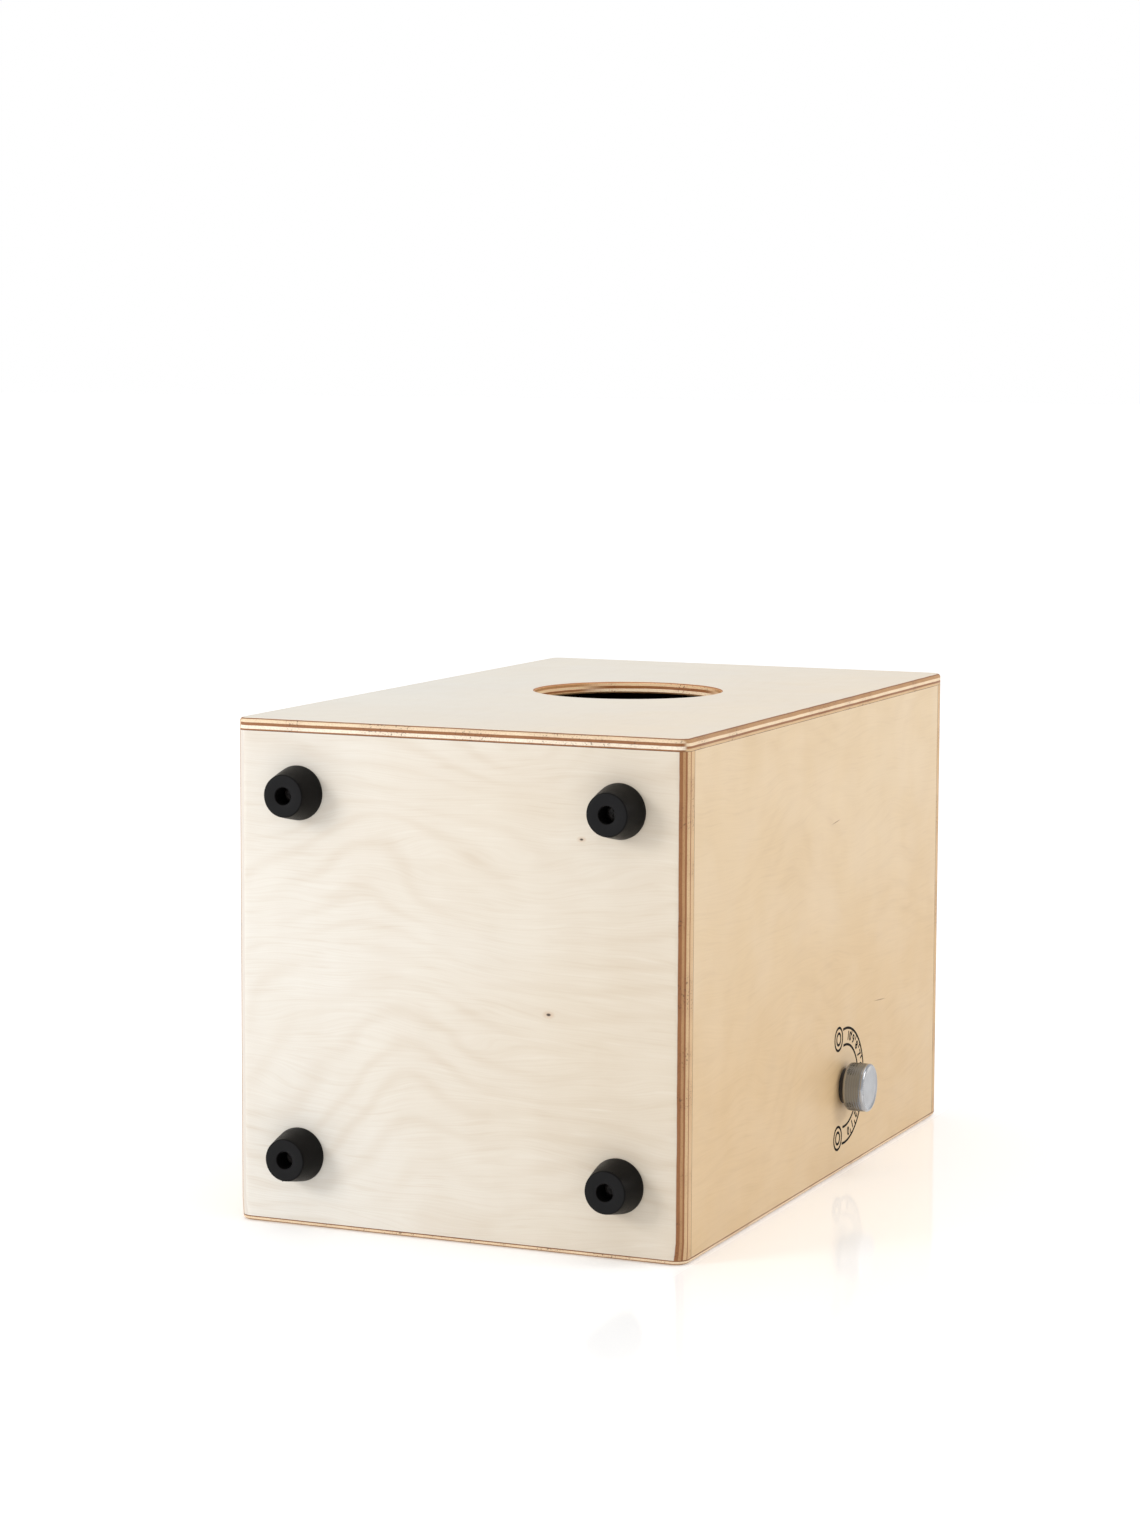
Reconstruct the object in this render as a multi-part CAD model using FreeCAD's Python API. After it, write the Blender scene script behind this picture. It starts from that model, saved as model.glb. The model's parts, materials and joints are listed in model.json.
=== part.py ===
import FreeCAD, Part
import math
import os

# A cajon (box drum) lying on its playing face, in millimetres.
# X runs across the width, with the control knob on +X.  Y runs along the length, from the
# rubber feet (-Y) to the seat (+Y).  Z runs up from the playing face to the back panel.
# The origin is the centre of the playing face.

# ---- driving dimensions: the wooden box ----
WIDTH = 300.0
LENGTH = 490.0
DEPTH = 316.0
WALL = 12.0
PLAYING_SKIN = 3.0
BACK_SKIN = 8.0

CORNER_RADIUS = 7.5
CORNER_FLARE_RADIUS = 9.5
CORNER_FLARE_HEIGHT = 14.0
SEAT_FRONT_RADIUS = 14.0
BACK_EDGE_RADIUS = 2.75
PLAYING_EDGE_RADIUS = 2.0

SOUND_HOLE_RADIUS = 62.5
SOUND_HOLE_Y = 26.0
SOUND_HOLE_EASE = 1.2

CORNER_BATTEN = 15.0
SKIN_BATTEN = 12.0

# ---- rubber feet ----
FOOT_X = 107.0
FOOT_EDGE_GAP = 45.0
FOOT_BASE_RADIUS = 17.0
FOOT_END_RADIUS = 13.3
FOOT_HEIGHT = 20.0
FOOT_WEB = 6.0
FOOT_RECESS_RADIUS = 5.35
FOOT_END_EASE = 1.0
FOOT_WASHER_RADIUS = 5.0
FOOT_WASHER_THICKNESS = 1.0

# ---- screws: shank radius, head radius, head height, length under the head ----
FOOT_SCREW = (2.0, 4.1, 2.4, 16.0)
SKIN_SCREW = (1.5, 3.25, 1.8, 10.0)
BLOCK_SCREW = (1.75, 3.4, 2.2, 20.0)
CLAMP_SCREW = (1.25, 2.4, 1.4, 6.0)
SCREW_GAP = 0.1
SCREW_SLOT_WIDTH = 0.8
SCREW_SLOT_DEPTH = 0.9

# ---- snare control: shaft, knob and bearings ----
AXIS_Y = 43.0
AXIS_Z = 57.0
SHAFT_RADIUS = 4.0
RUNNING_GAP = 0.05
FIXED_GAP = 0.02
SIDE_GAP = 0.3

KNOB_RADIUS = 16.0
KNOB_THICKNESS = 14.0
KNOB_STANDOFF = 4.0
KNOB_BEVEL = 1.3
KNOB_FACE_STEP = 0.4
KNOB_FRONT_WALL = 3.0
GRUB_RADIUS = 2.0
GRUB_LENGTH = 8.0

BUSH_FLANGE_RADIUS = 11.5
BUSH_BARREL_RADIUS = 7.0
BUSH_NUT_ACROSS_FLATS = 19.0
BUSH_NUT_THICKNESS = 5.0
BUSH_WASHER_RADIUS = 11.0
BUSH_WASHER_THICKNESS = 1.0
BUSH_END = 0.5

BLOCK_SIZE = 38.0
BLOCK_THICKNESS = 14.0
BLOCK_SCREW_OFFSET = 12.5
THRUST_WASHER_RADIUS = 8.0
THRUST_WASHER_THICKNESS = 2.4

# ---- snare wires on the roller ----
ROLLER_RADIUS = 11.0
ROLLER_FLAT = 8.0
PIN_RADIUS = 1.5
PIN_X = 12.0
STRAND_RADIUS = 0.9
STRAND_COUNT = 10
STRAND_PITCH = 7.6
STRAND_REACH = 150.0
STRAND_TIP_GAP = 0.5
SNARE_CENTRE_X = 66.0
END_PLATE = (78.0, 10.0, 1.9)
CLAMP_STRIP = (82.0, 10.0, 1.5)
CLAMP_SCREW_X = 30.0

# ---- derived places ----
HALF_W = WIDTH / 2
HALF_L = LENGTH / 2
INSIDE_X = HALF_W - WALL
INSIDE_Y = HALF_L - WALL
INSIDE_Z = DEPTH - BACK_SKIN
FOOT_ROWS_Z = (FOOT_EDGE_GAP, DEPTH - FOOT_EDGE_GAP)
KNOB_X = HALF_W + KNOB_STANDOFF
BUSH_INNER_X = INSIDE_X - BUSH_WASHER_THICKNESS - BUSH_NUT_THICKNESS - BUSH_END
ROLLER_RIGHT_X = BUSH_INNER_X - THRUST_WASHER_THICKNESS - SIDE_GAP
BLOCK_INNER_X = -INSIDE_X + BLOCK_THICKNESS
ROLLER_LEFT_X = BLOCK_INNER_X + THRUST_WASHER_THICKNESS + SIDE_GAP
STRAND_LEVEL = ROLLER_FLAT + END_PLATE[2] / 2

ALONG_X = FreeCAD.Vector(1, 0, 0)
ALONG_Y = FreeCAD.Vector(0, 1, 0)
ALONG_Z = FreeCAD.Vector(0, 0, 1)


def vec(x, y, z):
    return FreeCAD.Vector(x, y, z)


def block(low, high):
    """A box between two opposite corners."""
    size = [b - a for a, b in zip(low, high)]
    return Part.makeBox(size[0], size[1], size[2], vec(*low))


def rod(start, axis, radius, length):
    return Part.makeCylinder(radius, length, start, axis)


def tube(start, axis, outer, inner, length):
    return rod(start, axis, outer, length).cut(rod(start, axis, inner, length))


def along_shaft(x):
    """The point of the snare shaft's axis at this X."""
    return vec(x, AXIS_Y, AXIS_Z)


def place(shape, start, axis):
    """Move a shape built along +Z from the origin so that it runs from start along axis."""
    moved = shape.copy()
    moved.Placement = FreeCAD.Placement(start, FreeCAD.Rotation(ALONG_Z, axis))
    return moved


def export(name, shapes):
    """Write one node: a single solid, or a group of separate solids."""
    solids = shapes if isinstance(shapes, list) else [shapes]
    shape = solids[0] if len(solids) == 1 else Part.makeCompound(solids)
    assert shape.isValid(), name
    shape.exportStep("parts/" + name + ".step")


# ---- the rounded outline of the whole box ----

def edges_at(shape, axis_index, level, other_index=None, other_level=None):
    """Edges lying in one plane, or along the line where two planes meet."""
    found = []
    for edge in shape.Edges:
        low = edge.BoundBox
        span = ((low.XMin, low.XMax), (low.YMin, low.YMax), (low.ZMin, low.ZMax))
        flat = max(abs(v - level) for v in span[axis_index]) < 1e-3
        if flat and other_index is not None:
            flat = max(abs(v - other_level) for v in span[other_index]) < 1e-3
        if flat:
            found.append(edge)
    return found


def corner_outline(radius, z):
    """The waste outside a quarter-round corner, as a closed wire at one height."""
    margin = 1.0
    bow = radius * (1 - math.sqrt(0.5))
    outer = vec(HALF_W + margin, -HALF_L - margin, z)
    side_out = vec(HALF_W + margin, -HALF_L + radius, z)
    side_in = vec(HALF_W, -HALF_L + radius, z)
    middle = vec(HALF_W - bow, -HALF_L + bow, z)
    end_in = vec(HALF_W - radius, -HALF_L, z)
    end_out = vec(HALF_W - radius, -HALF_L - margin, z)
    return Part.Wire([
        Part.makeLine(outer, side_out),
        Part.makeLine(side_out, side_in),
        Part.Arc(side_in, middle, end_in).toShape(),
        Part.makeLine(end_in, end_out),
        Part.makeLine(end_out, outer),
    ])


def corner_waste(radius_low, radius_high, z_low, z_high):
    outlines = [corner_outline(radius_low, z_low), corner_outline(radius_high, z_high)]
    return Part.makeLoft(outlines, True, True)


def seat_front_waste():
    """The waste outside the large rounding where the seat meets the playing face."""
    margin = 1.0
    radius = SEAT_FRONT_RADIUS
    bow = radius * (1 - math.sqrt(0.5))
    x = -HALF_W - margin
    outer = vec(x, HALF_L + margin, -margin)
    seat_out = vec(x, HALF_L + margin, radius)
    seat_in = vec(x, HALF_L, radius)
    middle = vec(x, HALF_L - bow, bow)
    skin_in = vec(x, HALF_L - radius, 0)
    skin_out = vec(x, HALF_L - radius, -margin)
    outline = Part.Wire([
        Part.makeLine(outer, seat_out),
        Part.makeLine(seat_out, seat_in),
        Part.Arc(seat_in, middle, skin_in).toShape(),
        Part.makeLine(skin_in, skin_out),
        Part.makeLine(skin_out, outer),
    ])
    return Part.Face(outline).extrude(ALONG_X * (WIDTH + 2 * margin))


def rounded_box():
    """The outer form that every panel is trimmed to."""
    body = block((-HALF_W, -HALF_L, 0), (HALF_W, HALF_L, DEPTH))
    origin = vec(0, 0, 0)
    flare = corner_waste(CORNER_FLARE_RADIUS, CORNER_RADIUS, 0, CORNER_FLARE_HEIGHT)
    foot_end = corner_waste(CORNER_RADIUS, CORNER_RADIUS, CORNER_FLARE_HEIGHT, DEPTH)
    seat_end = corner_waste(CORNER_RADIUS, CORNER_RADIUS, 0, DEPTH).mirror(origin, ALONG_Y)
    for waste in (flare, foot_end, seat_end):
        body = body.cut(waste).cut(waste.mirror(origin, ALONG_X))
    body = body.makeFillet(BACK_EDGE_RADIUS, edges_at(body, 2, DEPTH))
    body = body.makeFillet(PLAYING_EDGE_RADIUS, edges_at(body, 2, 0))
    return body.cut(seat_front_waste())


# ---- screws, built along +Z with the head's underside, or its flush top, at the origin ----

def cross_slot(head_radius, top_z):
    length = head_radius * 1.2
    low_z = top_z - SCREW_SLOT_DEPTH
    bars = []
    for x, y in ((length, SCREW_SLOT_WIDTH), (SCREW_SLOT_WIDTH, length)):
        bars.append(block((-x / 2, -y / 2, low_z), (x / 2, y / 2, top_z + 1)))
    return bars[0].fuse(bars[1])


def pan_screw(size):
    """A pan-head screw: the head stands on +Z, the shank runs down to -Z."""
    shank, head, height, length = size
    screw = rod(vec(0, 0, -length), ALONG_Z, shank, length + 0.1)
    cap = rod(vec(0, 0, 0), ALONG_Z, head, height)
    cap = cap.makeFillet(height * 0.45, edges_at(cap, 2, height))
    return screw.fuse(cap).removeSplitter().cut(cross_slot(head, height))


def flat_screw(size, gap=0.0):
    """A countersunk screw, flush at the origin; a gap makes the hole that it sits in."""
    shank, head, height, length = size
    cone = Part.makeCone(shank + gap, head + gap, height, vec(0, 0, -height), ALONG_Z)
    stem = rod(vec(0, 0, -length - gap), ALONG_Z, shank + gap, length + gap)
    screw = cone.fuse(stem)
    if gap:
        return screw.fuse(rod(vec(0, 0, -0.01), ALONG_Z, head + gap, 5.0))
    return screw.cut(cross_slot(head, 0))


# ---- where the screws sit: a point and the direction out of the head ----

def foot_places():
    return [vec(x, -HALF_L, z) for z in FOOT_ROWS_Z for x in (-FOOT_X, FOOT_X)]


def skin_screw_places():
    """Screws along the seat end and the upper sides of the playing face."""
    seat_y = INSIDE_Y - SKIN_BATTEN / 2
    side_x = INSIDE_X - SKIN_BATTEN / 2
    places = [vec(x, seat_y, 0.1) for x in (-90.0, 0.0, 90.0)]
    for x in (-side_x, side_x):
        places += [vec(x, y, 0.1) for y in (60.0, 130.0, 200.0)]
    return places


def block_screw_places():
    places = []
    for side in (-1, 1):
        y = AXIS_Y + side * BLOCK_SCREW_OFFSET
        z = AXIS_Z + side * BLOCK_SCREW_OFFSET
        places.append(vec(BLOCK_INNER_X - 0.1, y, z))
    return places


def cut_screws(shape, size, places, axis):
    for point in places:
        shape = shape.cut(place(flat_screw(size, SCREW_GAP), point, axis))
    return shape


# ---- the wooden box ----

def make_panels(outline):
    full_x = (-HALF_W, HALF_W)
    full_y = (-HALF_L, HALF_L)
    wall_z = (PLAYING_SKIN, INSIDE_Z)

    def panel(xs, ys, zs):
        return outline.common(block((xs[0], ys[0], zs[0]), (xs[1], ys[1], zs[1])))

    tapa = panel(full_x, full_y, (0, PLAYING_SKIN))
    export("tapa", cut_screws(tapa, SKIN_SCREW, skin_screw_places(), -ALONG_Z))

    back = panel(full_x, full_y, (INSIDE_Z, DEPTH))
    back = back.cut(rod(vec(0, SOUND_HOLE_Y, INSIDE_Z - 1), ALONG_Z, SOUND_HOLE_RADIUS, 20))
    rims = [e for z in (INSIDE_Z, DEPTH) for e in edges_at(back, 2, z) if is_sound_hole(e)]
    export("back_panel", back.makeChamfer(SOUND_HOLE_EASE, rims))

    bottom = panel(full_x, (-HALF_L, -INSIDE_Y), wall_z)
    pilot_depth = FOOT_SCREW[3] - FOOT_WEB - FOOT_WASHER_THICKNESS + 0.5
    for point in foot_places():
        bottom = bottom.cut(rod(point, ALONG_Y, FOOT_SCREW[0] + SCREW_GAP, pilot_depth))
    export("bottom_panel", bottom)
    export("seat_panel", panel(full_x, (INSIDE_Y, HALF_L), wall_z))

    left = panel((-HALF_W, -INSIDE_X), (-INSIDE_Y, INSIDE_Y), wall_z)
    export("side_panel_left", cut_screws(left, BLOCK_SCREW, block_screw_places(), ALONG_X))
    right = panel((INSIDE_X, HALF_W), (-INSIDE_Y, INSIDE_Y), wall_z)
    hole = rod(along_shaft(INSIDE_X - 1), ALONG_X, BUSH_BARREL_RADIUS + SCREW_GAP, WALL + 2)
    export("side_panel_right", right.cut(hole))


def is_sound_hole(edge):
    curve = edge.Curve
    return isinstance(curve, Part.Circle) and abs(curve.Radius - SOUND_HOLE_RADIUS) < 0.01


def make_battens():
    """Glue strips: one up each corner, and a frame behind the playing face."""
    for side_name, side in (("left", -1), ("right", 1)):
        x_in, x_out = sorted((side * INSIDE_X, side * (INSIDE_X - CORNER_BATTEN)))
        for end_name, end in (("bottom", -1), ("seat", 1)):
            y_in, y_out = sorted((end * INSIDE_Y, end * (INSIDE_Y - CORNER_BATTEN)))
            strip = block((x_in, y_in, PLAYING_SKIN), (x_out, y_out, INSIDE_Z))
            export("corner_batten_%s_%s" % (end_name, side_name), strip)
        x_low, x_high = sorted((side * INSIDE_X, side * (INSIDE_X - SKIN_BATTEN)))
        reach = INSIDE_Y - CORNER_BATTEN
        strip = block((x_low, -reach, PLAYING_SKIN), (x_high, reach, PLAYING_SKIN + SKIN_BATTEN))
        strip = cut_screws(strip, SKIN_SCREW, skin_screw_places(), -ALONG_Z)
        export("tapa_batten_" + side_name, strip)
    for end_name, end in (("bottom", -1), ("seat", 1)):
        y_low, y_high = sorted((end * INSIDE_Y, end * (INSIDE_Y - SKIN_BATTEN)))
        reach = INSIDE_X - CORNER_BATTEN
        strip = block((-reach, y_low, PLAYING_SKIN), (reach, y_high, PLAYING_SKIN + SKIN_BATTEN))
        strip = cut_screws(strip, SKIN_SCREW, skin_screw_places(), -ALONG_Z)
        export("tapa_batten_" + end_name, strip)


def make_skin_screws():
    screw = flat_screw(SKIN_SCREW)
    export("tapa_screws", [place(screw, p, -ALONG_Z) for p in skin_screw_places()])


# ---- feet ----

def foot():
    """One rubber foot, its base on the origin and its end on +Z."""
    body = Part.makeCone(FOOT_BASE_RADIUS, FOOT_END_RADIUS, FOOT_HEIGHT)
    body = body.makeFillet(FOOT_END_EASE, edges_at(body, 2, FOOT_HEIGHT))
    body = body.cut(rod(vec(0, 0, FOOT_WEB), ALONG_Z, FOOT_RECESS_RADIUS, FOOT_HEIGHT))
    return body.cut(rod(vec(0, 0, -1), ALONG_Z, FOOT_SCREW[0] + SCREW_GAP, FOOT_HEIGHT))


def make_feet():
    names = ("foot_front_left", "foot_front_right", "foot_back_left", "foot_back_right")
    for name, point in zip(names, foot_places()):
        export(name, place(foot(), point, -ALONG_Y))
    washer = tube(vec(0, 0, FOOT_WEB), ALONG_Z, FOOT_WASHER_RADIUS,
                  FOOT_SCREW[0] + SCREW_GAP, FOOT_WASHER_THICKNESS)
    export("foot_washers", [place(washer, p, -ALONG_Y) for p in foot_places()])
    head = -ALONG_Y * (FOOT_WEB + FOOT_WASHER_THICKNESS)
    screw = pan_screw(FOOT_SCREW)
    export("foot_screws", [place(screw, p + head, -ALONG_Y) for p in foot_places()])


# ---- knob, shaft and bearings ----

def make_knob():
    knob = rod(along_shaft(KNOB_X), ALONG_X, KNOB_RADIUS, KNOB_THICKNESS)
    front = KNOB_X + KNOB_THICKNESS
    knob = knob.makeChamfer(KNOB_BEVEL, edges_at(knob, 0, front))
    face_radius = KNOB_RADIUS - KNOB_BEVEL - 0.8
    knob = knob.cut(rod(along_shaft(front - KNOB_FACE_STEP), ALONG_X, face_radius, 1.0))
    bore_depth = KNOB_THICKNESS - KNOB_FRONT_WALL
    bore = rod(along_shaft(KNOB_X - 1), ALONG_X, SHAFT_RADIUS + FIXED_GAP, bore_depth + 1)
    grub_start = vec(KNOB_X + KNOB_THICKNESS / 2, AXIS_Y + SHAFT_RADIUS, AXIS_Z)
    grub_hole = rod(grub_start, ALONG_Y, GRUB_RADIUS + SCREW_GAP / 2, KNOB_RADIUS)
    export("knob", knob.cut(bore).cut(grub_hole))

    grub_start = grub_start + ALONG_Y * 0.05
    grub = rod(grub_start, ALONG_Y, GRUB_RADIUS, GRUB_LENGTH)
    key_flats = 2.0
    key = Part.Face(Part.makePolygon(hexagon(key_flats / 2))).extrude(ALONG_Z * 2.5)
    key = place(key, grub_start + ALONG_Y * (GRUB_LENGTH - 2.0), ALONG_Y)
    export("knob_grub_screw", grub.cut(key))


def hexagon(apothem):
    radius = apothem / math.cos(math.pi / 6)
    corners = [math.radians(60 * i) for i in range(7)]
    return [vec(radius * math.cos(a), radius * math.sin(a), 0) for a in corners]


def make_bearings():
    barrel_length = HALF_W - BUSH_INNER_X
    barrel = rod(along_shaft(BUSH_INNER_X), ALONG_X, BUSH_BARREL_RADIUS, barrel_length)
    flange_thickness = KNOB_STANDOFF - SIDE_GAP
    flange = rod(along_shaft(HALF_W), ALONG_X, BUSH_FLANGE_RADIUS, flange_thickness)
    flange = flange.makeChamfer(0.6, edges_at(flange, 0, HALF_W + flange_thickness))
    running = rod(along_shaft(0), ALONG_X, SHAFT_RADIUS + RUNNING_GAP, WIDTH)
    export("shaft_bush", barrel.fuse(flange).removeSplitter().cut(running))

    barrel_hole = rod(along_shaft(0), ALONG_X, BUSH_BARREL_RADIUS + SCREW_GAP, WIDTH)
    washer_x = INSIDE_X - BUSH_WASHER_THICKNESS
    washer = rod(along_shaft(washer_x), ALONG_X, BUSH_WASHER_RADIUS, BUSH_WASHER_THICKNESS)
    export("bush_washer", washer.cut(barrel_hole))
    nut = Part.Face(Part.makePolygon(hexagon(BUSH_NUT_ACROSS_FLATS / 2)))
    nut = nut.extrude(ALONG_Z * BUSH_NUT_THICKNESS)
    nut = place(nut, along_shaft(washer_x - BUSH_NUT_THICKNESS), ALONG_X)
    export("bush_nut", nut.cut(barrel_hole))

    half = BLOCK_SIZE / 2
    bearing = block((-INSIDE_X, AXIS_Y - half, AXIS_Z - half),
                    (BLOCK_INNER_X, AXIS_Y + half, AXIS_Z + half))
    bore = rod(along_shaft(-HALF_W), ALONG_X, SHAFT_RADIUS + RUNNING_GAP, WIDTH)
    bearing = bearing.makeChamfer(1.5, edges_at(bearing, 0, BLOCK_INNER_X)).cut(bore)
    export("bearing_block", cut_screws(bearing, BLOCK_SCREW, block_screw_places(), ALONG_X))
    screw = flat_screw(BLOCK_SCREW)
    export("bearing_block_screws", [place(screw, p, ALONG_X) for p in block_screw_places()])


# ---- the turning shaft, roller and snare wires ----

def roller_frame(angle):
    """Directions along the snare wires and out of the roller's flat, at the rest position."""
    along = vec(0, math.cos(angle), -math.sin(angle))
    outward = vec(0, -math.sin(angle), -math.cos(angle))
    return along, outward


def snare_angle():
    """The tilt that brings the wire tips to the inner face of the playing skin."""
    tip_z = PLAYING_SKIN + STRAND_RADIUS + STRAND_TIP_GAP
    reach = math.hypot(STRAND_REACH, STRAND_LEVEL)
    return math.asin((AXIS_Z - tip_z) / reach) - math.atan2(STRAND_LEVEL, STRAND_REACH)


def on_roller(x, along_by, outward_by):
    along, outward = roller_frame(snare_angle())
    return along_shaft(x) + along * along_by + outward * outward_by


def roller_strip(x, size, level):
    """A strip lying on the roller's flat, its underside at the given height."""
    long_x, across, thick = size
    strip = block((-long_x / 2, -across / 2, 0), (long_x / 2, across / 2, thick))
    along, outward = roller_frame(snare_angle())
    turn = FreeCAD.Rotation(-ALONG_X, along, outward, "XYZ")
    strip.Placement = FreeCAD.Placement(on_roller(x, 0, level), turn)
    return strip


def clamp_screw_places(centre_x):
    level = ROLLER_FLAT + END_PLATE[2] + CLAMP_STRIP[2]
    return [on_roller(centre_x + s * CLAMP_SCREW_X, 0, level) for s in (-1, 1)]


def clamp_screw_holes(shape):
    outward = roller_frame(snare_angle())[1]
    for centre_x in (-SNARE_CENTRE_X, SNARE_CENTRE_X):
        for point in clamp_screw_places(centre_x):
            depth = CLAMP_SCREW[3] + 0.3
            hole = rod(point - outward * depth, outward, CLAMP_SCREW[0] + SCREW_GAP, depth + 1)
            shape = shape.cut(hole)
    return shape


def make_roller():
    along, outward = roller_frame(snare_angle())
    shaft_left = -INSIDE_X + 1.0
    shaft_right = KNOB_X + KNOB_THICKNESS - KNOB_FRONT_WALL - 0.5
    shaft = rod(along_shaft(shaft_left), ALONG_X, SHAFT_RADIUS, shaft_right - shaft_left)
    length = ROLLER_RIGHT_X - ROLLER_LEFT_X
    roller = rod(along_shaft(ROLLER_LEFT_X), ALONG_X, ROLLER_RADIUS, length)
    flat = roller_strip(0, (WIDTH, 3 * ROLLER_RADIUS, ROLLER_RADIUS), ROLLER_FLAT)
    roller = roller.cut(flat)
    roller = roller.cut(rod(along_shaft(-HALF_W), ALONG_X, SHAFT_RADIUS + FIXED_GAP, WIDTH))
    pins = []
    for x in (-PIN_X, PIN_X):
        start = on_roller(x, 1 - ROLLER_RADIUS, 0)
        pins.append(rod(start, along, PIN_RADIUS, 2 * ROLLER_RADIUS - 2))
        hole = rod(start - along * 2, along, PIN_RADIUS + FIXED_GAP, 2 * ROLLER_RADIUS + 4)
        shaft = shaft.cut(hole)
        roller = roller.cut(hole)
    export("snare_shaft", shaft)
    export("snare_roller", clamp_screw_holes(roller))
    export("roller_pins", pins)

    for name, x in (("left", ROLLER_LEFT_X - THRUST_WASHER_THICKNESS), ("right", ROLLER_RIGHT_X)):
        washer = tube(along_shaft(x), ALONG_X, THRUST_WASHER_RADIUS,
                      SHAFT_RADIUS + RUNNING_GAP, THRUST_WASHER_THICKNESS)
        export("thrust_washer_" + name, washer)


def snare_wires(centre_x):
    """Ten parallel strands soldered to one end plate."""
    along = roller_frame(snare_angle())[0]
    wires = roller_strip(centre_x, END_PLATE, ROLLER_FLAT)
    start_by = END_PLATE[1] / 2 - 2.0
    for i in range(STRAND_COUNT):
        x = centre_x + (i - (STRAND_COUNT - 1) / 2) * STRAND_PITCH
        start = on_roller(x, start_by, STRAND_LEVEL)
        wires = wires.fuse(rod(start, along, STRAND_RADIUS, STRAND_REACH - start_by))
    return wires


def make_snares():
    outward = roller_frame(snare_angle())[1]
    screws = []
    for side_name, centre_x in (("left", -SNARE_CENTRE_X), ("right", SNARE_CENTRE_X)):
        export("snare_wires_" + side_name, clamp_screw_holes(snare_wires(centre_x)))
        strip = roller_strip(centre_x, CLAMP_STRIP, ROLLER_FLAT + END_PLATE[2])
        export("snare_clamp_" + side_name, clamp_screw_holes(strip))
        for point in clamp_screw_places(centre_x):
            screws.append(place(pan_screw(CLAMP_SCREW), point, outward))
    export("snare_clamp_screws", screws)


def main():
    os.makedirs("parts", exist_ok=True)
    make_panels(rounded_box())
    make_battens()
    make_skin_screws()
    make_feet()
    make_knob()
    make_bearings()
    make_roller()
    make_snares()


main()
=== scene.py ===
import json
import math
import random

import bmesh
import bpy
from mathutils import Matrix, Vector


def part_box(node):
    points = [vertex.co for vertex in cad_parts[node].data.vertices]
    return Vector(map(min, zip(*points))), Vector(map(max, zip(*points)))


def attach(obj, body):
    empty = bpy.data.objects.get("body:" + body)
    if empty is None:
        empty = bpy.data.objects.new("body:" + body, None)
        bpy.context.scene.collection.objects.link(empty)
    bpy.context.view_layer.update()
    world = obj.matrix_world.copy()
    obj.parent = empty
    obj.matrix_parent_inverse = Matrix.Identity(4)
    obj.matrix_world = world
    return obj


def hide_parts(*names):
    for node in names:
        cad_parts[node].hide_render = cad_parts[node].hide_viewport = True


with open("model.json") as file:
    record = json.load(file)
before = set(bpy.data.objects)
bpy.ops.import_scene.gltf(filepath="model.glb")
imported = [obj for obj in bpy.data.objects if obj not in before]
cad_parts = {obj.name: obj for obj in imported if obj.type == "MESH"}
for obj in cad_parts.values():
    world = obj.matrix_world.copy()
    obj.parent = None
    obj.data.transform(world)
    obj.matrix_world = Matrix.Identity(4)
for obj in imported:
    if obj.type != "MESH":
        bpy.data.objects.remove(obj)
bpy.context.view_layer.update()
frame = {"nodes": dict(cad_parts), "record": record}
NODES = frame["nodes"]
BOX, CONTROL = "box", "snare_control"
MM = 0.001

# Places read from the CAD model, in metres.
SIDE_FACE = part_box("side_panel_right")[1].x
BOTTOM_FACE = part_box("bottom_panel")[0].y
SEAT_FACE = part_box("seat_panel")[1].y
BACK_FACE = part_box("back_panel")[1].z
KNOB_LOW, KNOB_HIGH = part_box("knob")
HOLE_MOUNT = next(mount for mount in frame["record"]["mounts"] if mount["name"] == "sound_hole")
HOLE_X, HOLE_Y = HOLE_MOUNT["pos_m"][:2]
HOLE_RADIUS = HOLE_MOUNT["dims"]["r_mm"] * MM
AXIS = Vector((0, (KNOB_LOW.y + KNOB_HIGH.y) / 2, (KNOB_LOW.z + KNOB_HIGH.z) / 2))

# The camera: metres and degrees, in the object's frame.
CAMERA_PLACE = (0.950, -2.275, 0.548)
CAMERA_TURN = 23.32
CAMERA_DROP = 6.40
CAMERA_ROLL = 0.24
CAMERA_LENS = 88.68


# ---------------------------------------------------------------- shader building blocks

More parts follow.
